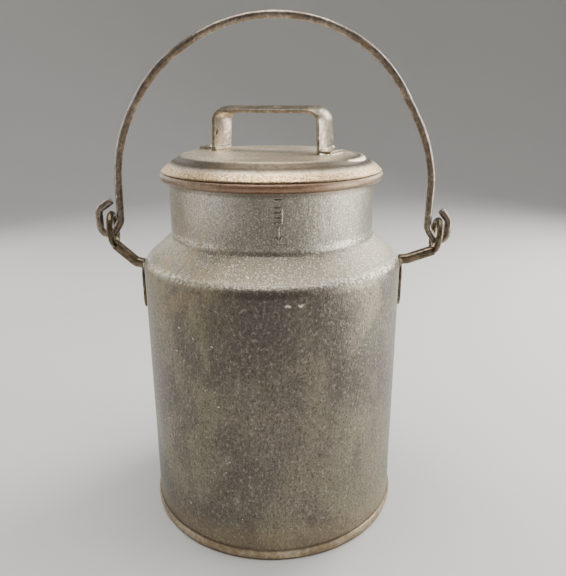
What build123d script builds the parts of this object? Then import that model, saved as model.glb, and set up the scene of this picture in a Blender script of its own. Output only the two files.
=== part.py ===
from build123d import *
from math import cos, radians, sin
import os

os.makedirs("parts", exist_ok=True)

# Milk can. Millimetres, +Z up. The origin is on the floor, on the axis of the can,
# and the front of the can faces -Y. The bail hooks into the ears at -X and +X.

# Driving dimensions
body_radius = 85.0  # outside of the cylindrical body
neck_radius = 66.1  # outside of the neck
sheet = 0.9  # tinned sheet of the can
lid_sheet = 0.7  # thinner sheet of the lid
wire_radius = 2.5  # bail wire
joint_gap = 0.1  # left between soldered pieces

# Heights
foot_height = 7.0
shoulder_low = 177.0
shoulder_top = 193.2
mouth_height = 231.2  # centre of the rolled mouth edge
lid_top = 245.1

# Foot hoop: half-round outside, with a lip that turns in under the wall
hoop_radius = body_radius + 1.5
hoop_lip = 1.2
hoop_lip_radius = body_radius - 2.6
hoop_edge = body_radius + 0.4

# Bottom pan, inset above the floor
pan_flange_low = 2.0
pan_height = 8.6
pan_crown = 1.4
pan_flat = 30.0

# Rolled mouth edge and the wire inside it
mouth_wire_radius = 2.05
curl_radius = mouth_wire_radius + joint_gap + sheet / 2
curl_turn = 300

# Lid
lid_flat = 52.0
lid_edge_drop = 0.9
lid_step = (61.0, 241.0)
lid_brim_middle = (66.1, 237.8)
lid_brim_end = (70.1, 234.2)
collar_radius = 64.2
collar_low = 212.0
collar_flange = 56.0

# Lid handle, a crowned strap turned about the lid's axis
handle_turn = -28.0
handle_half = 39.4
handle_top = 273.2
handle_width = 21.6
handle_sheet = 2.2
handle_crown = 2.4
handle_bend = 8.5
handle_splay = 1.2
left_foot_reach = 49.5
right_foot_reach = 45.5
seal_hole = (3.0, 5.0)
seal_hole_height = 256.5
seal_hole_offset = 5.2

# Ears: a flat tail on the body, an arm, and an oval eye of round bar that leans outward
tail_sheet = 2.0
tail_width = 22.0
tail_low = 141.5
tail_top = 174.0
tail_round = 9.0
arm_width = 6.8
arm_thick = 6.2
eye_tall = 10.2  # half the height and half the width of the eye's centre line
eye_wide = 8.4
eye_bar = 2.1

# Eye centres as distance from the can's axis and height, and how many degrees each eye
# leans outward; the right ear is bent further out
left_eye = (105.5, 194.9)
right_eye = (110.3, 189.1)
left_lean = 3.0
right_lean = 6.0

# Bail: distance of each leg from the can's axis, and the heights at which the wire
# crosses the eyes, which is where it hinges
left_leg = 100.0
right_leg = 104.1
left_cross = 195.4
right_cross = 189.4
arch_centre = (2.4, 223.2)

wall_line = body_radius - sheet / 2
neck_line = neck_radius - sheet / 2


def save(piece, label):
    """Name a finished piece and write its STEP file."""
    piece.part.label = label
    export_step(piece.part, f"parts/{label}.step")


# The can: one drawn sheet from the foot to the rolled mouth edge
with BuildPart() as can_shell:
    with BuildSketch(Plane.XZ):
        with BuildLine():
            side = FilletPolyline(
                (wall_line, hoop_lip + joint_gap),
                (wall_line, shoulder_low),
                (neck_line, shoulder_top),
                (neck_line, mouth_height),
                radius=[9.0, 6.0],
            )
            JernArc(side @ 1, side % 1, curl_radius, -curl_turn)
        trace(line_width=sheet)
    revolve(axis=Axis.Z)
save(can_shell, "can_shell")

# The wire that stiffens the mouth
with BuildPart() as mouth_wire:
    with BuildSketch(Plane.XZ):
        with Locations((neck_line + curl_radius, mouth_height)):
            Circle(mouth_wire_radius)
    revolve(axis=Axis.Z)
save(mouth_wire, "mouth_wire")

# The inset bottom: a slightly crowned disc with a flange turned down inside the wall
pan_line = body_radius - sheet - joint_gap - sheet / 2
with BuildPart() as bottom_pan:
    with BuildSketch(Plane.XZ):
        with BuildLine():
            FilletPolyline(
                (pan_line, pan_flange_low),
                (pan_line, pan_height),
                (pan_flat, pan_height + pan_crown),
                (0, pan_height + pan_crown),
                radius=[3.0, 60.0],
            )
        trace(line_width=sheet)
    revolve(axis=Axis.Z)
save(bottom_pan, "bottom_pan")

# The foot hoop, flat underneath where the can stands
with BuildPart() as foot_hoop:
    with BuildSketch(Plane.XZ):
        with BuildLine():
            outside = ThreePointArc(
                (hoop_edge, 0), (hoop_radius, foot_height * 0.45), (hoop_edge, foot_height)
            )
            Polyline(
                outside @ 1,
                (body_radius + joint_gap, foot_height),
                (body_radius + joint_gap, hoop_lip),
                (hoop_lip_radius, hoop_lip),
                (hoop_lip_radius, 0),
                outside @ 0,
            )
        make_face()
    revolve(axis=Axis.Z)
save(foot_hoop, "foot_hoop")

# The lid's pressed plate: almost flat, a short step down, and a brim over the mouth edge
lid_line = lid_top - lid_sheet / 2
with BuildPart() as lid_cover:
    with BuildSketch(Plane.XZ):
        with BuildLine():
            FilletPolyline(
                (0, lid_line),
                (lid_flat, lid_line),
                (59.6, lid_line - lid_edge_drop),
                lid_step,
                radius=[30.0, 1.6],
            )
            ThreePointArc(lid_step, lid_brim_middle, lid_brim_end)
        trace(line_width=lid_sheet)
    revolve(axis=Axis.Z)
save(lid_cover, "lid_cover")

# The lid's collar, a plain plug ring with a flange turned in under the plate
collar_line = collar_radius - sheet / 2
collar_top = 239.6
flange_line = lid_line - lid_edge_drop - lid_sheet / 2 - sheet / 2 - 0.3
with BuildPart() as lid_collar:
    with BuildSketch(Plane.XZ):
        with BuildLine():
            FilletPolyline(
                (collar_line, collar_low),
                (collar_line, collar_top - 3.2),
                (collar_flange + 2.4, flange_line),
                (collar_flange - 4.0, flange_line),
                radius=[1.5, 1.5],
            )
        trace(line_width=sheet)
    revolve(axis=Axis.Z)
save(lid_collar, "lid_collar")

# The lid handle: a strap crowned across its width, on two flat feet turned outward
strap = Plane.XZ.rotated((0, 0, handle_turn))
strap_floor = Plane.XY.rotated((0, 0, handle_turn))
bar_line = handle_top - handle_sheet / 2
leg_line = handle_half - handle_sheet / 2
leg_low = lid_top + handle_sheet / 2
with BuildPart() as lid_handle:
    with BuildLine(strap) as handle_path:
        FilletPolyline(
            (-leg_line - handle_splay, leg_low),
            (-leg_line, bar_line),
            (leg_line, bar_line),
            (leg_line + handle_splay, leg_low),
            radius=handle_bend,
        )
    handle_start = Plane(
        origin=handle_path.line @ 0, x_dir=-strap.z_dir, z_dir=handle_path.line % 0
    )
    with BuildSketch(handle_start):
        with BuildLine():
            ThreePointArc(
                (-handle_width / 2, -handle_crown), (0, 0), (handle_width / 2, -handle_crown)
            )
        trace(line_width=handle_sheet)
    sweep()
    foot_inside = leg_line - handle_crown - 0.4
    for end, reach in ((-1, left_foot_reach), (1, right_foot_reach)):
        with BuildSketch(strap_floor.offset(lid_top)):
            with Locations((end * (foot_inside + reach) / 2, 0)):
                RectangleRounded(reach - foot_inside, handle_width, 2.5)
        extrude(amount=handle_sheet)
    for end in (-1, 1):
        leg_face = Plane(
            origin=strap.from_local_coords((end * leg_line, seal_hole_height, 0)),
            x_dir=strap.z_dir,
            z_dir=strap.x_dir,
        )
        with BuildSketch(leg_face):
            with Locations((-end * seal_hole_offset, 0)):
                Polygon(
                    (-seal_hole[0] / 2, 0),
                    (0, -seal_hole[1] / 2),
                    (seal_hole[0] / 2, 0),
                    (0, seal_hole[1] / 2),
                )
        extrude(amount=6.0, both=True, mode=Mode.SUBTRACT)
save(lid_handle, "lid_handle")


def make_ear(side, eye, eye_lean, arm_height, arm_elbow):
    """An ear on the given side (-1 or 1): tail, arm and eye as one forged piece."""
    lean = radians(eye_lean)
    eye_centre = Vector(side * eye[0], 0, eye[1])
    eye_up = Vector(side * sin(lean), 0, cos(lean))
    eye_low = eye_centre - eye_up * eye_tall
    tail_inside = body_radius + joint_gap
    with BuildPart() as ear:
        with BuildSketch(Plane.XY.offset(tail_low)):
            Circle(tail_inside + tail_sheet)
            Circle(tail_inside, mode=Mode.SUBTRACT)
            with Locations((side * body_radius, 0)):
                Rectangle(20, tail_width, mode=Mode.INTERSECT)
        extrude(amount=tail_top - tail_low)
        with BuildSketch(Plane.YZ):
            with Locations((0, (tail_top + tail_low) / 2)):
                RectangleRounded(tail_width, tail_top - tail_low, tail_round)
        extrude(amount=side * 2 * body_radius, mode=Mode.INTERSECT)
        with BuildLine(Plane.XZ) as arm_path:
            FilletPolyline(
                (side * (tail_inside + tail_sheet / 2), arm_height),
                (side * arm_elbow[0], arm_elbow[1]),
                (eye_low.X, eye_low.Z),
                radius=5.0,
            )
        with BuildSketch(Plane(origin=arm_path.line @ 0, x_dir=(0, 1, 0), z_dir=arm_path.line % 0)):
            RectangleRounded(arm_width, arm_thick, 2.0)
        sweep()
        eye_plane = Plane(origin=eye_centre, x_dir=eye_up, z_dir=eye_up.cross(Vector(0, 1, 0)))
        for start in (0, 180):
            with BuildLine(eye_plane) as half_eye:
                EllipticalCenterArc((0, 0), eye_tall, eye_wide, start_angle=start, arc_size=180)
            with BuildSketch(Plane(origin=half_eye.line @ 0, z_dir=half_eye.line % 0)):
                Circle(eye_bar)
            sweep(path=half_eye.line)
    return ear


left_ear = make_ear(-1, left_eye, left_lean, 171.2, (91.8, 172.6))
save(left_ear, "left_ear")
right_ear = make_ear(1, right_eye, right_lean, 172.8, (91.4, 173.0))
save(right_ear, "right_ear")


def hook_points(side, leg, cross, outward, bend_height, tip):
    """Corners of a hooked end, from the leg out through the eye and up to the tip."""
    corners = [
        (leg, cross + 4.7),
        (leg + 9.25, cross - 9.8),
        (leg + outward, cross + 1.0),
        (leg + outward + 0.2, cross + bend_height),
        (leg + tip[0], cross + tip[1]),
    ]
    return [(side * x, z) for x, z in corners]


# The bail: one round wire, hooked out through both eyes. Each corner of its arch is given
# as distance and direction from the arch's centre, with the radius of the bend there.
arch = [
    (104.9, 165.0, 96.0),
    (104.4, 135.0, 96.0),
    (105.5, 105.0, 96.0),
    (106.2, 75.0, 93.0),
    (104.0, 47.0, 88.0),
    (101.2, 17.0, 90.0),
    (102.6, 3.0, 60.0),
]
arch_corners = [
    (arch_centre[0] + r * cos(radians(a)), arch_centre[1] + r * sin(radians(a)))
    for r, a, bend in arch
]
left_hook = hook_points(-1, left_leg, left_cross, 13.65, 12.5, (5.4, 18.2))
right_hook = hook_points(1, right_leg, right_cross, 13.65, 9.8, (8.8, 16.2))
hook_bends = [6.5, 5.2, 5.0, 5.0]
with BuildPart() as bail:
    with BuildLine(Plane.XZ) as bail_path:
        FilletPolyline(
            *reversed(left_hook),
            *arch_corners,
            *right_hook,
            radius=hook_bends[:0:-1] + hook_bends[:1] + [bend for r, a, bend in arch] + hook_bends,
        )
    with BuildSketch(Plane(origin=bail_path.line @ 0, z_dir=bail_path.line % 0)):
        Circle(wire_radius)
    sweep()
save(bail, "bail")
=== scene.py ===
import math

import bmesh
import bpy
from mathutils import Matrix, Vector, noise


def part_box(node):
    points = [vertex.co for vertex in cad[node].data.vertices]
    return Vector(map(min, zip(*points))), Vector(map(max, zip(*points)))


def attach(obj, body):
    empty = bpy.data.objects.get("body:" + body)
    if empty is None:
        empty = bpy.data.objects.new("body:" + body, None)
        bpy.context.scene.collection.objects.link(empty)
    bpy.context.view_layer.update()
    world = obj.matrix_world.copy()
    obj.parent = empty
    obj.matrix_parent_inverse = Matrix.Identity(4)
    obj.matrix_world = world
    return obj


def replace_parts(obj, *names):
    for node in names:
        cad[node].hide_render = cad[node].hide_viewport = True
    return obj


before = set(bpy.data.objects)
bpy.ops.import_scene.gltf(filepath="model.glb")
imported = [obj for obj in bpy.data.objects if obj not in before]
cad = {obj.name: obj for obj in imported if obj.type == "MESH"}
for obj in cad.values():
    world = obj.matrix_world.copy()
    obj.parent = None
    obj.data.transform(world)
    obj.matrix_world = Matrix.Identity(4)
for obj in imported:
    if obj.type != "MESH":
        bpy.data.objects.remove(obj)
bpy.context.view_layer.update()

# Metres, +Z up, the front of the can towards -Y.
MM = 0.001
ON_AXIS = 1e-9  # a point closer than this to the can's axis lies on it

# ---------------------------------------------------------------- sizes, the CAD model's own

body_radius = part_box("can_shell")[1].x
sheet = 0.9 * MM
lid_sheet = 0.7 * MM
neck_radius = 66.1 * MM
shoulder_low = 177.0 * MM
shoulder_top = 193.2 * MM
mouth_height = 231.2 * MM
curl_radius = 2.6 * MM
curl_turn = math.radians(300)
hoop_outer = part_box("foot_hoop")[1].x
hoop_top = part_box("foot_hoop")[1].z
joint_gap = 0.1 * MM
hoop_edge = body_radius + 0.4 * MM
hoop_inside = body_radius + joint_gap
hoop_lip = 1.2 * MM
hoop_lip_radius = body_radius - 2.6 * MM
lid_top = 245.1 * MM
brim_start = (61.0 * MM, 241.0 * MM)
brim_middle = (66.1 * MM, 237.8 * MM)
brim_end = (70.1 * MM, 234.2 * MM)
strap_turn = math.radians(-28.0)
strap_leg = 39.4 * MM
foot_reaches = {"left": 49.5 * MM, "right": 45.5 * MM}
wire_radius = 2.5 * MM

wall_line = body_radius - sheet / 2
neck_line = neck_radius - sheet / 2
lid_line = lid_top - lid_sheet / 2

# ---------------------------------------------------------------- outlines


def spaced(points, step):
    """The same outline, with points added so that no stretch is longer than step."""
    result = [points[0]]
    for start, end in zip(points, points[1:]):
        count = max(1, math.ceil((end - start).length / step))
        result += [start.lerp(end, (i + 1) / count) for i in range(count)]
    return result


def rounded(corners, radii, step=1.5 * MM, arc_step=0.6 * MM):
    """A path through the corners, each inner corner rounded by an arc of its radius."""
    corners = [Vector(c) for c in corners]
    points = [corners[0]]
    for before, corner, after, radius in zip(corners, corners[1:], corners[2:], radii):
        back = (before - corner).normalized()
        ahead = (after - corner).normalized()
        turn = math.pi - back.angle(ahead)
        centre = corner + (back + ahead).normalized() * radius / math.cos(turn / 2)
        arm = corner + back * radius * math.tan(turn / 2) - centre
        side = 1 if -back.x * ahead.y + back.y * ahead.x > 0 else -1
        count = max(3, math.ceil(radius * turn / arc_step))
        for i in range(count + 1):
            angle = side * turn * i / count
            c, s = math.cos(angle), math.sin(angle)
            points.append(centre + Vector((c * arm.x - s * arm.y, s * arm.x + c * arm.y)))
    points.append(corners[-1])
    return spaced(points, step)


def curl(path, radius, turn, step=0.5 * MM):
    """The path, carried on by an arc that turns to the right of its last stretch."""
    ahead = (path[-1] - path[-2]).normalized()
    right = Vector((ahead.y, -ahead.x))
    centre = path[-1] + right * radius
    count = math.ceil(radius * turn / step)
    arc = []
    for i in range(1, count + 1):
        angle = turn * i / count
        arc.append(centre - right * radius * math.cos(angle) + ahead * radius * math.sin(angle))
    return path + arc


def arc_through(start, middle, end, count):
    """Points of the arc from start through middle to end, without its start."""
    start, middle, end = Vector(start), Vector(middle), Vector(end)
    a, b = middle - start, end - start
    cross = 2 * (a.x * b.y - a.y * b.x)
    centre = start + Vector(
        (
            (b.y * a.length_squared - a.y * b.length_squared) / cross,
            (a.x * b.length_squared - b.x * a.length_squared) / cross,
        )
    )
    arm = start - centre
    swing = arm.angle_signed(end - centre)
    points = []
    for i in range(1, count + 1):
        angle = -swing * i / count
        c, s = math.cos(angle), math.sin(angle)
        points.append(centre + Vector((c * arm.x - s * arm.y, s * arm.x + c * arm.y)))
    return points


def sheet_outline(path, thickness):
    """The closed outline of sheet metal whose middle follows the path."""
    left, right = [], []
    for i, point in enumerate(path):
        before, after = path[max(i - 1, 0)], path[min(i + 1, len(path) - 1)]
        ahead = (after - before).normalized()
        across = Vector((-ahead.y, ahead.x)) * thickness / 2
        left.append(point + across)
        right.append(point - across)
    bulge = thickness * 0.25  # how far each cut end is rounded out
    tip = (path[-1] - path[-2]).normalized() * bulge
    start = (path[0] - path[1]).normalized() * bulge
    nose = [path[-1] + tip]
    tail = [] if path[0].x < ON_AXIS else [path[0] + start]
    return left + nose + right[::-1] + tail


# ---------------------------------------------------------------- meshes


def finish_mesh(name, bm, body):
    """Turn the bmesh into a smooth-shaded piece that rides on the body."""
    bmesh.ops.recalc_face_normals(bm, faces=bm.faces)
    mesh = bpy.data.meshes.new(name)
    bm.to_mesh(mesh)
    bm.free()
    mesh.shade_smooth()
    piece = bpy.data.objects.new(name, mesh)
    bpy.context.scene.collection.objects.link(piece)
    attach(piece, body)
    return piece


def lathe(name, outline, body, around, shape):
    """The outline, turned about the can's axis and closed, each point moved by shape."""
    bm = bmesh.new()
    rings = []
    for point in outline:
        count = 1 if point.x < ON_AXIS else around
        ring = []
        for i in range(count):
            angle = 2 * math.pi * i / around
            place = Vector((point.x * math.cos(angle), point.x * math.sin(angle), point.y))
            ring.append(bm.verts.new(shape(place)))
        rings.append(ring)
    for this, following in zip(rings, rings[1:] + rings[:1]):
        if len(this) == 1 and len(following) == 1:
            continue
        for i in range(around):
            j = (i + 1) % around
            corners = [this[i % len(this)], this[j % len(this)]]
            corners += [following[j % len(following)], following[i % len(following)]]
            bm.faces.new(list(dict.fromkeys(corners)))
    return finish_mesh(name, bm, body)


def tube(name, path, radius, body, sides, roughen, limits=None, wrapped=0.0):
    """A round bar along a path in the XZ plane, or laid on the front of a wrapped radius.

    Roughen is how deep its surface is worn, and limits is a box that it stays inside.
    """
    bm = bmesh.new()
    stations = []
    for i, point in enumerate(path):
        before, after = path[max(i - 1, 0)], path[min(i + 1, len(path) - 1)]
        stations.append((point, (after - before).normalized(), 1.0))
    start, start_ahead, _ = stations[0]
    end, end_ahead, _ = stations[-1]
    dome_rings, tip_size = 3, 0.35
    for k in range(1, dome_rings + 1):
        bend = math.pi / 2 * k / dome_rings
        reach = radius * tip_size * math.sin(bend)
        size = tip_size + (1 - tip_size) * math.cos(bend)
        stations.insert(0, (start - start_ahead * reach, start_ahead, size))
        stations.append((end + end_ahead * reach, end_ahead, size))
    rings = []
    for point, ahead, size in stations:
        across = Vector((-ahead.y, 0, ahead.x))
        depth = math.sqrt(max(0.0, wrapped**2 - point.x**2)) if wrapped else 0.0
        centre = Vector((point.x, -depth, point.y))
        ring = []
        for s in range(sides):
            angle = 2 * math.pi * s / sides
            out = across * math.cos(angle) + Vector((0, 1, 0)) * math.sin(angle)
            place = centre + out * radius * size
            lump = noise.noise(place * 160) + 0.5 * noise.noise(place * 420)
            place -= out * roughen * (0.5 + 0.5 * lump)
            if limits:
                place = Vector(max(a, min(b, v)) for v, a, b in zip(place, *limits))
            ring.append(bm.verts.new(place))
        rings.append(ring)
    for this, following in zip(rings, rings[1:]):
        for i in range(sides):
            j = (i + 1) % sides
            bm.faces.new((this[i], this[j], following[j], following[i]))
    bm.faces.new(rings[0])
    bm.faces.new(rings[-1])
    return finish_mesh(name, bm, body)


def copy_node(name, node, body):
    """A welded copy of a CAD node's mesh, to be worked on, that stands for the node."""
    bm = bmesh.new()
    bm.from_mesh(cad[node].data)
    bmesh.ops.remove_doubles(bm, verts=bm.verts, dist=0.002 * MM)
    piece = finish_mesh(name, bm, body)
    piece.data.materials.clear()
    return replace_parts(piece, node)


def soften(piece, voxel, rounds):
    """Round off every edge of a piece, as forging or wear does."""
    remesh = piece.modifiers.new("remesh", "REMESH")
    remesh.mode, remesh.voxel_size = "VOXEL", voxel
    remesh.use_smooth_shade = True
    smooth = piece.modifiers.new("smooth", "SMOOTH")
    smooth.factor, smooth.iterations = 0.5, rounds


def fade(value, start, end):
    """0 below start, 1 above end, smooth between them. Start may be above end."""
    t = max(0.0, min(1.0, (value - start) / (end - start)))
    return t * t * (3 - 2 * t)


def dent(place, centre, size, depth):
    """How deep a soft round dent is at a place."""
    distance = (place - Vector(centre)).length / size
    return depth * math.exp(-distance * distance * 2)


# ---------------------------------------------------------------- materials


class Finish:
    """A material being built. Each method adds a node and returns what comes out of it."""

    def __init__(self, name):
        self.material = bpy.data.materials.new(name)
        self.material.use_nodes = True
        self.tree = self.material.node_tree
        self.shader = self.tree.nodes["Principled BSDF"]
        self.place = self.add("ShaderNodeTexCoord").outputs["Object"]
        self.x, _, self.z = self.add("ShaderNodeSeparateXYZ", Vector=self.place).outputs

    def add(self, kind, settings=(), **inputs):
        node = self.tree.nodes.new(kind)
        for key, value in dict(settings).items():
            setattr(node, key, value)
        for key, value in inputs.items():
            self.put(node.inputs[key.replace("_", " ")], value)
        return node

    def put(self, socket, value):
        if isinstance(value, bpy.types.NodeSocket):
            self.tree.links.new(value, socket)
        elif isinstance(value, tuple) and len(value) == 3 and socket.type == "RGBA":
            socket.default_value = (*value, 1)
        else:
            socket.default_value = value

    def stretched(self, scale, shift=(0, 0, 0)):
        node = self.add("ShaderNodeMapping", Vector=self.place)
        node.inputs["Scale"].default_value = scale
        node.inputs["Location"].default_value = shift
        return node.outputs["Vector"]

    def noise(self, scale, detail, rough, stretch=(1, 1, 1), shift=(0, 0, 0), warp=0.0):
        vector = self.stretched(tuple(scale * s for s in stretch), shift)
        node = self.add("ShaderNodeTexNoise", Vector=vector, Scale=1.0, Detail=detail)
        node.inputs["Roughness"].default_value = rough
        node.inputs["Distortion"].default_value = warp
        return node.outputs["Fac"]

    def cells(self, scale, stretch):
        vector = self.stretched(tuple(scale * s for s in stretch))
        node = self.add("ShaderNodeTexVoronoi", Vector=vector, Scale=1.0)
        return node.outputs["Distance"]

    def ramp(self, value, low, high, out=(0.0, 1.0)):
        node = self.add("ShaderNodeMapRange", Value=value)
        node.interpolation_type = "SMOOTHSTEP"
        for key, number in zip(("From Min", "From Max", "To Min", "To Max"), (low, high, *out)):
            node.inputs[key].default_value = number
        return node.outputs["Result"]

    def math(self, kind, a, b=0.0):
        node = self.add("ShaderNodeMath", {"operation": kind})
        self.put(node.inputs[0], a)
        self.put(node.inputs[1], b)
        return node.outputs[0]

    def times(self, *values):
        result = values[0]
        for value in values[1:]:
            result = self.math("MULTIPLY", result, value)
        return result

    def mix(self, factor, a, b):
        node = self.add("ShaderNodeMix", {"data_type": "RGBA"})
        self.put(node.inputs[0], factor)
        self.put(node.inputs[6], a)
        self.put(node.inputs[7], b)
        return node.outputs[2]

    def band(self, value, centre, width):
        """1 where the value is at the centre, falling to 0 a width away on each side."""
        away = self.math("ABSOLUTE", self.math("SUBTRACT", value, centre))
        return self.ramp(away, 0.0, width, (1.0, 0.0))

    def spot(self, centre, size, stretch=(1, 1, 1)):
        """1 at a place on the object, falling to 0 a size away."""
        node = self.add("ShaderNodeVectorMath", {"operation": "SUBTRACT"})
        self.put(node.inputs[0], self.place)
        node.inputs[1].default_value = centre
        scaled = self.add("ShaderNodeVectorMath", {"operation": "MULTIPLY"})
        self.put(scaled.inputs[0], node.outputs[0])
        scaled.inputs[1].default_value = stretch
        length = self.add("ShaderNodeVectorMath", {"operation": "LENGTH"})
        self.put(length.inputs[0], scaled.outputs[0])
        return self.ramp(length.outputs["Value"], 0.0, size, (1.0, 0.0))

    def bump(self, height, depth, strength, after=None):
        node = self.add("ShaderNodeBump", Height=height)
        node.inputs["Strength"].default_value = strength
        node.inputs["Distance"].default_value = depth
        if after is not None:
            self.put(node.inputs["Normal"], after)
        return node.outputs["Normal"]

    def done(self, color, roughness, normal, metallic=1.0):
        for key, value in (
            ("Base Color", color),
            ("Roughness", roughness),
            ("Normal", normal),
            ("Metallic", metallic),
        ):
            self.put(self.shader.inputs[key], value)
        return self.material


def give(piece, material):
    """Give a piece its material."""
    piece.data.materials.clear()
    piece.data.materials.append(material)
    return piece


# Heights where the can's look changes. A pair is where the change starts and where it ends.
shoulder_look = (174.0 * MM, 180.0 * MM)
neck_look = (190.0 * MM, 198.0 * MM)
mouth_look = (227.2 * MM, 228.8 * MM)
foot_rust = (30.0 * MM, 12.0 * MM)
shoulder_middle = 186.0 * MM
low_bend, high_bend = 179.0 * MM, 196.5 * MM
nick_height = 169.5 * MM
nick_spots = ((8.2 * MM, -84.6 * MM), (15.8 * MM, -83.5 * MM))


def wall_color(f, streak, grain, mottle, cloud, haze):
    """Mottled grey tin, olive in places, with draw streaks and a painted dark reflection down the
    front.
    """
    color = f.mix(f.ramp(cloud, 0.40, 0.60), (0.142, 0.122, 0.105), (0.262, 0.236, 0.172))
    color = f.mix(f.ramp(haze, 0.50, 0.70, (0, 0.6)), color, (0.165, 0.172, 0.122))
    # painted dark reflection down the front of the wall, broken up by the haze
    front = f.spot((0.004, -0.085, 0.105), 0.052, (1.0, 0.3, 0.42))
    painted_front_reflection = f.times(front, f.ramp(haze, 0.3, 0.6, (1.0, 0.6)))
    color = f.mix(f.times(painted_front_reflection, 0.85), color, (0.122, 0.100, 0.096))
    color = f.mix(f.ramp(mottle, 0.50, 0.68, (0.0, 0.7)), color, (0.40, 0.365, 0.295))
    color = f.mix(f.ramp(grain, 0.50, 0.36, (0, 0.7)), color, (0.062, 0.054, 0.045))
    color = f.mix(f.ramp(streak, 0.48, 0.30, (0, 0.3)), color, (0.10, 0.088, 0.074))
    return f.mix(f.ramp(grain, 0.62, 0.72, (0, 0.6)), color, (0.60, 0.56, 0.47))


def shoulder_and_neck(f, color):
    """The shoulder and neck are brighter than the wall, the shoulder more tan, both flecked; the
    shoulder's front has a painted dark reflection, the neck a painted highlight.
    """
    shoulder = f.band(f.z, shoulder_middle, 12.0 * MM)
    color = f.mix(f.times(shoulder, 0.32), color, (0.46, 0.415, 0.30))
    # painted dark reflection on the front of the shoulder
    painted_shoulder_reflection = f.spot((0.0, -0.075, 0.186), 0.040, (1.0, 0.3, 0.5))
    color = f.mix(f.times(shoulder, painted_shoulder_reflection), color, (0.215, 0.188, 0.135))
    neck = f.ramp(f.z, *neck_look)
    color = f.mix(f.times(neck, 0.30), color, (0.60, 0.57, 0.50))
    above_wall = f.ramp(f.z, *shoulder_look)
    sparkle = f.ramp(f.noise(1000, 3, 0.75, shift=(3, 7, 2)), 0.53, 0.64)
    color = f.mix(f.times(above_wall, sparkle, 0.7), color, (0.84, 0.78, 0.64))
    # bright speckles on the upper left of the neck, over a painted highlight
    speckles_and_highlight = f.spot((-0.034, -0.056, 0.221), 0.030)
    speckle = f.ramp(f.noise(1150, 3, 0.75, shift=(8, 2, 5)), 0.50, 0.62)
    # painted highlight, the speckles come on top of it
    color = f.mix(f.times(speckles_and_highlight, 0.35), color, (0.78, 0.74, 0.66))
    color = f.mix(f.times(speckles_and_highlight, speckle), color, (0.92, 0.89, 0.82))
    dark_fleck = f.ramp(f.noise(800, 3, 0.7, shift=(2, 9, 4)), 0.46, 0.36)
    return f.mix(f.times(above_wall, dark_fleck, 0.6), color, (0.13, 0.115, 0.095))


def rust_stains(f):
    """How rusty the sheet is: most on the left of the shoulder, some at the foot, spots all over."""
    rust = f.noise(75, 5, 0.7, shift=(5, 5, 5))
    left = f.spot((-0.052, -0.052, 0.190), 0.055)
    low = f.ramp(f.z, *foot_rust, (0, 0.35))
    rusty = f.math("MAXIMUM", f.times(left, f.ramp(rust, 0.40, 0.62)), low)
    return f.math("MAXIMUM", rusty, f.ramp(rust, 0.66, 0.74, (0, 0.6)))


def rubbed_and_highlit_bends(f):
    """How bright the bends above and below the shoulder are: rubbed wear and a painted highlight,
    most on the flanks.
    """
    patchy = f.ramp(f.noise(620, 4, 0.7, shift=(2, 2, 2)), 0.44, 0.60)
    flanks = f.ramp(f.math("ABSOLUTE", f.x), 12.0 * MM, 45.0 * MM, (0.25, 1.0))
    bends = f.math("ADD", f.band(f.z, high_bend, 3.2 * MM), f.band(f.z, low_bend, 3.0 * MM))
    return f.times(bends, flanks, patchy)


def pits_and_nicks(f, color, grain):
    """Dark pits on the left of the shoulder, two torn nicks below it, small bright ones all over."""
    pitted = f.spot((-0.040, -0.066, 0.184), 0.020)
    clusters = f.ramp(f.noise(130, 3, 0.6, shift=(6, 1, 8)), 0.46, 0.58)
    pits = f.times(f.ramp(f.cells(520, (1, 1, 0.8)), 0.34, 0.16), clusters)
    color = f.mix(f.times(pitted, pits, 0.9), color, (0.06, 0.05, 0.036))
    for nick_x, nick_y in nick_spots:
        large = f.spot((nick_x, nick_y, nick_height), 0.0030, (1.0, 0.3, 1.8))
        torn = f.math("ADD", large, f.ramp(grain, 0.35, 0.65, (-0.45, 0.25)))
        color = f.mix(f.ramp(torn, 0.35, 0.65, (0, 0.85)), color, (0.80, 0.76, 0.66))
    nick = f.ramp(f.noise(330, 2, 0.5, shift=(9, 4, 1)), 0.73, 0.78)
    return f.mix(f.times(nick, 0.8), color, (0.8, 0.77, 0.68))


def mouth_edge(f, color, mottle, haze):
    """The rolled mouth edge is rubbed brown by the lid, with the painted shadow it casts on the neck
    under it.
    """
    brown = f.mix(f.ramp(haze, 0.4, 0.62), (0.20, 0.128, 0.080), (0.30, 0.215, 0.140))
    front = f.spot((0.0, -0.07, 0.231), 0.05)
    brown = f.mix(f.times(front, 0.6), brown, (0.29, 0.145, 0.085))
    brown = f.mix(f.ramp(mottle, 0.52, 0.7, (0, 0.5)), brown, (0.52, 0.41, 0.29))
    color = f.mix(f.times(f.ramp(f.z, *mouth_look), 0.88), color, brown)
    # painted shadow of the mouth bead on the neck
    shade = f.band(f.z, 226.8 * MM, 2.2 * MM)
    return f.mix(f.times(shade, 0.6), color, (0.16, 0.12, 0.09))


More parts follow.
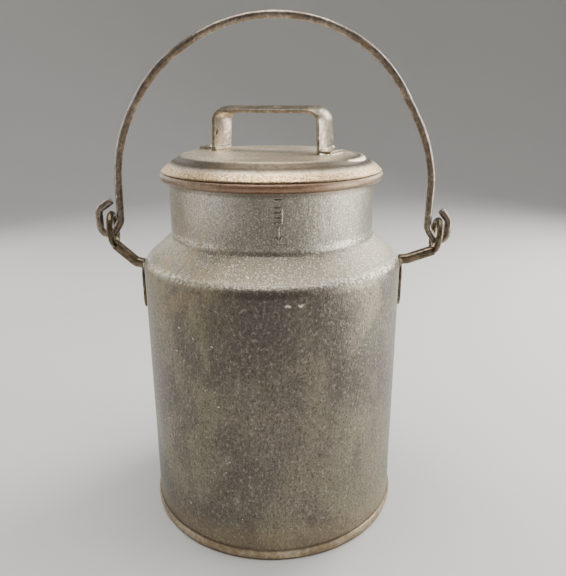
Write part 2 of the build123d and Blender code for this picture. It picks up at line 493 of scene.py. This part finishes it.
def can_tin():
    """Old tinned sheet: draw streaks, orange-peel mottling, stains, bright rubbed bends with a
    painted highlight, painted dark reflections on the front and a painted shadow under the mouth
    edge.
    """
    f = Finish("can_tin")
    streak = f.noise(340, 4, 0.6, (1, 1, 0.08))
    grain = f.noise(950, 4, 0.7, (1, 1, 0.7))
    mottle = f.noise(520, 5, 0.75, (1, 1, 0.7))
    cloud = f.noise(20, 5, 0.65, (1, 1, 0.7), warp=0.4)
    haze = f.noise(46, 4, 0.6, (1, 1, 0.6), (3, 1, 7))
    color = wall_color(f, streak, grain, mottle, cloud, haze)
    color = shoulder_and_neck(f, color)
    rusty = rust_stains(f)
    color = f.mix(f.times(rusty, 0.62), color, (0.42, 0.315, 0.15))
    rubbed_and_highlit = rubbed_and_highlit_bends(f)
    # rubbed wear and a painted highlight along the bends
    color = f.mix(f.times(rubbed_and_highlit, 0.85), color, (0.90, 0.85, 0.74))
    color = pits_and_nicks(f, color, grain)
    color = mouth_edge(f, color, mottle, haze)
    rough = f.ramp(cloud, 0.3, 0.7, (0.32, 0.43))
    rough = f.math("ADD", rough, f.ramp(grain, 0.3, 0.7, (0.08, -0.07)))
    rough = f.math("SUBTRACT", rough, f.times(rubbed_and_highlit, 0.12))
    normal = f.bump(streak, 0.3 * MM, 0.3)
    normal = f.bump(mottle, 0.5 * MM, 0.6, normal)
    normal = f.bump(grain, 0.3 * MM, 0.7, normal)
    metal = f.math("SUBTRACT", 1.0, f.times(rusty, 0.5))
    return f.done(color, rough, normal, metal)


# Heights on the lid's plate, each pair where a change starts and where it ends
cove_top, cove_foot = (244.6 * MM, 243.0 * MM), (237.2 * MM, 240.6 * MM)
brim_look = (239.6 * MM, 237.0 * MM)
rim_look = (235.2 * MM, 234.2 * MM)


def lid_bands(f, color, fleck):
    """Painted shade from the plateau's edge down into the cove, then a bright flecked brim, and
    painted shade at the rim's lowest edge.
    """
    # painted shade on the steep step down into the cove
    cove = f.times(f.ramp(f.z, *cove_top), f.ramp(f.z, *cove_foot))
    color = f.mix(f.times(cove, 0.95), color, (0.050, 0.038, 0.024))
    brim = f.ramp(f.z, *brim_look)
    color = f.mix(f.times(brim, 0.9), color, (0.60, 0.39, 0.18))
    color = f.mix(f.times(f.ramp(fleck, 0.52, 0.40), brim, 0.9), color, (0.20, 0.135, 0.07))
    color = f.mix(f.times(f.ramp(fleck, 0.54, 0.62), brim, 0.95), color, (0.97, 0.88, 0.68))
    # painted shade in the gap where the lid's edge meets the mouth bead
    rim = f.ramp(f.z, *rim_look)
    return f.mix(f.times(rim, 0.75), color, (0.14, 0.09, 0.06))


def lid_tin(name, banded):
    """Warm worn tin of the lid, with the bands of its plate or without them."""
    f = Finish(name)
    turn = f.noise(26, 5, 0.6, shift=(1, 2, 3))
    mottle = f.noise(420, 4, 0.7)
    fleck = f.noise(900, 3, 0.8, shift=(4, 4, 4))
    color = f.mix(f.ramp(turn, 0.35, 0.65), (0.86, 0.71, 0.52), (0.94, 0.83, 0.65))
    color = f.mix(f.ramp(mottle, 0.54, 0.38, (0, 0.6)), color, (0.33, 0.25, 0.165))
    color = f.mix(f.ramp(fleck, 0.58, 0.70, (0, 0.6)), color, (0.90, 0.82, 0.68))
    if banded:
        color = lid_bands(f, color, fleck)
    rough = f.ramp(turn, 0.3, 0.7, (0.34, 0.44))
    rough = f.math("ADD", rough, f.ramp(mottle, 0.3, 0.7, (0.08, -0.05)))
    normal = f.bump(mottle, 0.4 * MM, 0.55)
    normal = f.bump(fleck, 0.25 * MM, 0.6, normal)
    return f.done(color, rough, normal)


def hoop_tan():
    """The foot hoop: rubbed tan and brassy, with a painted shadow along its top edge, and darker
    towards the bottom.
    """
    f = Finish("hoop_tan")
    wear = f.noise(45, 5, 0.65, (1, 1, 1.5))
    mottle = f.noise(320, 4, 0.65)
    color = f.mix(f.ramp(wear, 0.38, 0.62), (0.34, 0.265, 0.17), (0.54, 0.45, 0.31))
    color = f.mix(f.ramp(mottle, 0.6, 0.4, (0, 0.55)), color, (0.24, 0.17, 0.11))
    color = f.mix(f.ramp(mottle, 0.62, 0.74, (0, 0.7)), color, (0.8, 0.74, 0.6))
    # painted shadow in the gap along the hoop's top edge
    color = f.mix(f.ramp(f.z, 5.8 * MM, 6.9 * MM, (0, 0.75)), color, (0.12, 0.095, 0.07))
    # darker towards the bottom edge
    color = f.mix(f.ramp(f.z, 2.0 * MM, 0.3 * MM, (0, 0.7)), color, (0.16, 0.11, 0.07))
    rough = f.ramp(mottle, 0.3, 0.7, (0.48, 0.33))
    normal = f.bump(mottle, 0.4 * MM, 0.5)
    return f.done(color, rough, normal)


def worn_metal(name, base, light, rust_color, shine=(0.42, 0.3)):
    """Handled metal: a base color with lighter patches, bright specks and thin rust."""
    f = Finish(name)
    patch = f.noise(90, 5, 0.65)
    mottle = f.noise(430, 4, 0.6)
    color = f.mix(f.ramp(patch, 0.38, 0.62), base, light)
    grime, speck = tuple(v * 0.5 for v in base), tuple(v * 1.7 for v in light)
    color = f.mix(f.ramp(mottle, 0.6, 0.4, (0, 0.6)), color, grime)
    color = f.mix(f.ramp(mottle, 0.62, 0.76, (0, 0.6)), color, speck)
    rust = f.ramp(f.noise(150, 5, 0.7, shift=(7, 3, 1)), 0.52, 0.66)
    color = f.mix(f.times(rust, 0.55), color, rust_color)
    rough = f.math("ADD", f.ramp(mottle, 0.3, 0.7, shine), f.times(rust, 0.15))
    normal = f.bump(patch, 0.5 * MM, 0.4)
    normal = f.bump(mottle, 0.3 * MM, 0.5, normal)
    metal = f.math("SUBTRACT", 1.0, f.times(rust, 0.4))
    return f.done(color, rough, normal, metal)


def solder():
    """Bright lumpy solder."""
    f = Finish("solder")
    lump = f.noise(700, 3, 0.5)
    color = f.mix(f.ramp(lump, 0.4, 0.6), (0.40, 0.335, 0.24), (0.66, 0.58, 0.44))
    normal = f.bump(lump, 0.4 * MM, 0.6)
    return f.done(color, f.ramp(lump, 0.35, 0.65, (0.42, 0.28)), normal)


# ---------------------------------------------------------------- the can


# where each dent is, how wide and how deep
dents = [
    ((-0.045, -0.055, 0.186), 0.010, 0.7 * MM),
    ((-0.020, -0.072, 0.188), 0.007, 0.4 * MM),
    ((-0.078, -0.030, 0.060), 0.016, 0.8 * MM),
    ((0.055, 0.064, 0.110), 0.018, 1.0 * MM),
    ((0.030, -0.079, 0.040), 0.014, 0.5 * MM),
    ((-0.060, 0.060, 0.150), 0.012, 0.7 * MM),
]


def body_shape(place):
    """The drawn body is slightly uneven, and dented here and there."""
    out = Vector((place.x, place.y, 0)).normalized()
    held = fade(place.z, 0.008, 0.03) * fade(place.z, 0.224, 0.212)
    uneven = noise.noise(Vector((out.x * 1.6, out.y * 1.6, place.z * 14)))
    ripple = noise.noise(Vector((out.x * 7, out.y * 7, place.z * 26)))
    deep = (0.175 - 0.175 * uneven + 0.12 * ripple) * MM
    for centre, size, depth in dents:
        deep += dent(place, centre, size, depth)
    return place - out * deep * held


shell_path = rounded(
    [
        (wall_line, hoop_lip + joint_gap),
        (wall_line, shoulder_low),
        (neck_line, shoulder_top),
        (neck_line, mouth_height),
    ],
    [9.0 * MM, 6.0 * MM],
)
shell_path = curl(shell_path, curl_radius, curl_turn)
shell = lathe("drawn_shell", sheet_outline(shell_path, sheet), "can", 360, body_shape)
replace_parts(shell, "can_shell")
tin = can_tin()
give(shell, tin)

give(cad["bottom_pan"], tin)
plain_wire = worn_metal("plain_wire", (0.2, 0.15, 0.12), (0.3, 0.22, 0.17), (0.3, 0.15, 0.07))
give(cad["mouth_wire"], plain_wire)

# a plain fill scale on the neck: ticks, four of them joined on the right, above an arrow that
# points down
mark_x, tick_half, barb_half = 3.4 * MM, 1.9 * MM, 1.7 * MM
shaft_top, barb_top, shaft_low, arrow_tip = 209.5 * MM, 203.6 * MM, 201.0 * MM, 200.2 * MM
tick_heights = [211.5 * MM, 214.3 * MM, 217.1 * MM, 219.9 * MM, 224.4 * MM]
tick_left, tick_right = mark_x - tick_half, mark_x + tick_half
mark_lines = [((mark_x, shaft_top), (mark_x, shaft_low))]
for aside in (-barb_half, barb_half):
    mark_lines.append(((mark_x + aside, barb_top), (mark_x, arrow_tip)))
for height in tick_heights:
    mark_lines.append(((tick_left, height), (tick_right, height)))
mark_lines.append(((tick_right, tick_heights[0]), (tick_right, tick_heights[3])))
for number, line in enumerate(mark_lines, 1):
    stroke = spaced([Vector(end) for end in line], 0.6 * MM)
    name = f"fill_mark_{number}"
    raised = tube(name, stroke, 0.75 * MM, "can", 12, 0.1 * MM, wrapped=neck_radius)
    give(raised, tin)

# ---------------------------------------------------------------- the foot hoop


def hoop_shape(place):
    """Knocks and wear along the hoop, nearly all inward."""
    out = Vector((place.x, place.y, 0)).normalized()
    knock = noise.noise(place * 55) + 0.5 * noise.noise(place * 170)
    outside = fade(place.xy.length, body_radius + 0.3 * MM, hoop_outer)
    return place - out * outside * 0.35 * MM * (0.5 + 0.5 * knock)


hoop_outline = [Vector((hoop_edge, 0))]
hoop_outline += arc_through(
    (hoop_edge, 0), (hoop_outer, hoop_top * 0.45), (hoop_edge, hoop_top), 14
)
hoop_outline += [
    Vector((hoop_inside, hoop_top)),
    Vector((hoop_inside, hoop_lip)),
    Vector((hoop_lip_radius, hoop_lip)),
    Vector((hoop_lip_radius, 0)),
]
hoop = lathe("foot_band", hoop_outline, "can", 360, hoop_shape)
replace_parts(hoop, "foot_hoop")
give(hoop, hoop_tan())

# ---------------------------------------------------------------- the lid


def lid_shape(place):
    """The lid's plate sags a little, and its step is worn soft on the right."""
    radius = place.xy.length
    plate = fade(radius, 0.062, 0.050)
    sag = noise.noise(Vector((place.x * 22, place.y * 22, 1.7)))
    drop = plate * 0.35 * MM * (0.5 + 0.5 * sag)
    right = fade(place.x / max(radius, 1e-6), 0.55, 0.95)
    step = fade(radius, 0.044, 0.057) * fade(radius, 0.066, 0.060)
    return place - Vector((0, 0, drop + right * step * 0.9 * MM))


# the step is rounder than the CAD model's, as it is worn
lid_path = rounded(
    [(0, lid_line), (50 * MM, lid_line), (57.6 * MM, lid_line - 0.8 * MM), brim_start],
    [30 * MM, 6.5 * MM],
)
lid_path += arc_through(brim_start, brim_middle, brim_end, 12)
plate = lathe("lid_plate", sheet_outline(lid_path, lid_sheet), "lid", 320, lid_shape)
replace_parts(plate, "lid_cover")
give(plate, lid_tin("lid_tin", banded=True))
give(cad["lid_collar"], lid_tin("collar_tin", banded=False))

strap = copy_node("handle_strap", "lid_handle", "lid")
soften(strap, 0.4 * MM, 5)
strap_tin = worn_metal("strap_tin", (0.25, 0.21, 0.155), (0.40, 0.345, 0.265), (0.34, 0.235, 0.13))
give(strap, strap_tin)


def solder_heap(name, end, reach):
    """Solder run over a foot of the strap and up against its leg, lumpy and uneven."""
    bm = bmesh.new()
    across, along = 44, 30
    start, stop = strap_leg - 1.0 * MM, reach + 1.6 * MM
    half_width = 12.4 * MM
    base = lid_top - 0.6 * MM  # sunk into the plate, which sags
    turn_cos, turn_sin = math.cos(strap_turn), math.sin(strap_turn)
    sheets = []
    for top in (True, False):
        rows = []
        for i in range(along + 1):
            row = []
            out = start + (stop - start) * i / along
            climb = math.exp(-(out - start) / (2.2 * MM))
            for j in range(across + 1):
                aside = -half_width + 2 * half_width * j / across
                lump = noise.noise(Vector((out * 420, aside * 420, end * 3.0)))
                edge = fade(abs(aside), half_width, half_width - 4.5 * MM)
                edge *= fade(out, stop, stop - 4.0 * MM)
                height = (0.2 + edge * (2.4 + 3.6 * climb + 0.4 * lump)) * MM if top else 0.0
                x = end * out * turn_cos - aside * turn_sin
                y = end * out * turn_sin + aside * turn_cos
                row.append(bm.verts.new((x, y, base + height)))
            rows.append(row)
        for i in range(along):
            for j in range(across):
                bm.faces.new((rows[i][j], rows[i + 1][j], rows[i + 1][j + 1], rows[i][j + 1]))
        sheets.append(rows)
    top_rows, low_rows = sheets
    ring = [(i, 0) for i in range(along)] + [(along, j) for j in range(across)]
    ring += [(i, across) for i in range(along, 0, -1)] + [(0, j) for j in range(across, 0, -1)]
    for (a, b), (c, d) in zip(ring, ring[1:] + ring[:1]):
        bm.faces.new((top_rows[a][b], top_rows[c][d], low_rows[c][d], low_rows[a][b]))
    return finish_mesh(name, bm, "lid")


solder_metal = solder()
for side, end in (("left", -1), ("right", 1)):
    heap = solder_heap(f"{side}_foot_solder", end, foot_reaches[side])
    give(heap, solder_metal)

# ---------------------------------------------------------------- ears and bail

iron = worn_metal("ear_iron", (0.13, 0.105, 0.07), (0.24, 0.195, 0.13), (0.28, 0.16, 0.08))
for side in ("left", "right"):
    ear = copy_node(f"{side}_forged_ear", f"{side}_ear", "can")
    soften(ear, 0.45 * MM, 5)
    give(ear, iron)

# the bail's path is the CAD model's: hooks and arch, each corner with its bend radius
hook_bends = [6.5 * MM, 5.2 * MM, 5.0 * MM, 5.0 * MM]


def hook_corners(side, leg, cross, bend_height, tip):
    """Corners of a hooked end, from the leg out through the eye and up to the tip."""
    corners = [
        (leg, cross + 4.7),
        (leg + 9.25, cross - 9.8),
        (leg + 13.65, cross + 1.0),
        (leg + 13.85, cross + bend_height),
        (leg + tip[0], cross + tip[1]),
    ]
    return [(side * x * MM, z * MM) for x, z in corners]


# each corner of the arch: its distance and direction from the centre, and its bend radius
arch_x, arch_z = 2.4 * MM, 223.2 * MM
arch = [
    (104.9, 165, 96),
    (104.4, 135, 96),
    (105.5, 105, 96),
    (106.2, 75, 93),
    (104.0, 47, 88),
    (101.2, 17, 90),
    (102.6, 3, 60),
]
arch_corners = []
for distance, direction, _ in arch:
    angle, reach = math.radians(direction), distance * MM
    arch_corners.append((arch_x + reach * math.cos(angle), arch_z + reach * math.sin(angle)))
arch_bends = [bend * MM for _, _, bend in arch]
left_hook = hook_corners(-1, 100.0, 195.4, 12.5, (5.4, 18.2))
right_hook = hook_corners(1, 104.1, 189.4, 9.8, (8.8, 16.2))
bail_path = rounded(
    left_hook[::-1] + arch_corners + right_hook,
    hook_bends[::-1] + arch_bends + hook_bends,
    step=1.2 * MM,
    arc_step=0.9 * MM,
)
bail = tube("bail_wire", bail_path, wire_radius, "bail", 20, 0.12 * MM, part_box("bail"))
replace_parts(bail, "bail")
bail_iron = worn_metal(
    "bail_iron", (0.22, 0.18, 0.145), (0.40, 0.345, 0.28), (0.26, 0.17, 0.1), shine=(0.4, 0.28)
)
give(bail, bail_iron)

# ---------------------------------------------------------------- stage

floor_radius, cove_radius, wall_top = 1.3, 1.0, 2.2
floor_sides, cove_steps = 96, 12


def room_mesh():
    """A floor round the can that curves up into a wall all round."""
    outline = [(0, 0), (0.7, 0), (floor_radius, 0)]
    for i in range(1, cove_steps + 1):
        angle = math.pi / 2 * i / cove_steps
        rise = cove_radius * (1 - math.cos(angle))
        outline.append((floor_radius + cove_radius * math.sin(angle), rise))
    outline.append((floor_radius + cove_radius, wall_top))
    bm = bmesh.new()
    rings = []
    for radius, height in outline:
        angles = [2 * math.pi * i / floor_sides for i in range(floor_sides if radius else 1)]
        places = [(radius * math.cos(a), radius * math.sin(a), height) for a in angles]
        rings.append([bm.verts.new(place) for place in places])
    for this, following in zip(rings, rings[1:]):
        for i in range(floor_sides):
            j = (i + 1) % floor_sides
            corners = [this[i % len(this)], following[i], following[j], this[j % len(this)]]
            bm.faces.new(list(dict.fromkeys(corners)))
    mesh = bpy.data.meshes.new("floor")
    bm.to_mesh(mesh)
    bm.free()
    mesh.shade_smooth()
    return mesh


floor = bpy.data.objects.new("floor", room_mesh())
bpy.context.scene.collection.objects.link(floor)
pale = bpy.data.materials.new("pale_floor")
pale.use_nodes = True
pale_shader = pale.node_tree.nodes["Principled BSDF"]
pale_shader.inputs["Base Color"].default_value = (0.66, 0.655, 0.64, 1)
pale_shader.inputs["Roughness"].default_value = 0.7
floor.data.materials.append(pale)

world = bpy.data.worlds.new("studio")
bpy.context.scene.world = world
world.use_nodes = True
background = world.node_tree.nodes["Background"]
background.inputs["Color"].default_value = (0.86, 0.86, 0.86, 1)
background.inputs["Strength"].default_value = 0.21


def softbox(name, place, target, size, power, color=(1, 1, 1)):
    """A large soft light that faces the target."""
    light = bpy.data.lights.new(name, "AREA")
    light.shape, light.size, light.size_y = "RECTANGLE", *size
    light.energy, light.color = power, color
    lamp = bpy.data.objects.new(name, light)
    lamp.location = place
    lamp.rotation_euler = (Vector(target) - Vector(place)).to_track_quat("-Z", "Y").to_euler()
    bpy.context.scene.collection.objects.link(lamp)


middle = (0, 0, 0.16)
warm = (1.0, 0.98, 0.95)
softbox("top", (0.0, 0.0, 1.1), middle, (0.9, 0.7), 12, warm)
softbox("key_right", (0.75, 0.55, 0.65), middle, (0.55, 0.7), 12, warm)
softbox("side_right", (1.0, -0.1, 0.25), middle, (0.5, 0.5), 9, warm)
softbox("side_left", (-1.0, -0.1, 0.3), middle, (0.5, 0.6), 1.5, (1.0, 0.97, 0.93))
softbox("back_left", (-0.7, 0.6, 0.5), middle, (0.5, 0.6), 3)

camera_data = bpy.data.cameras.new("camera")
camera_data.sensor_width = 36
camera_data.lens = 36.69
camera = bpy.data.objects.new("camera", camera_data)
camera.location = (0, -0.3851, 0.2780)
camera.rotation_mode = "XYZ"
tilt_down, roll, pan = math.radians(18.01), math.radians(0.18), math.radians(-1.12)
camera.rotation_euler = (math.pi / 2 - tilt_down, roll, pan)
camera_data.clip_start = 0.01
bpy.context.scene.collection.objects.link(camera)
bpy.context.scene.camera = camera
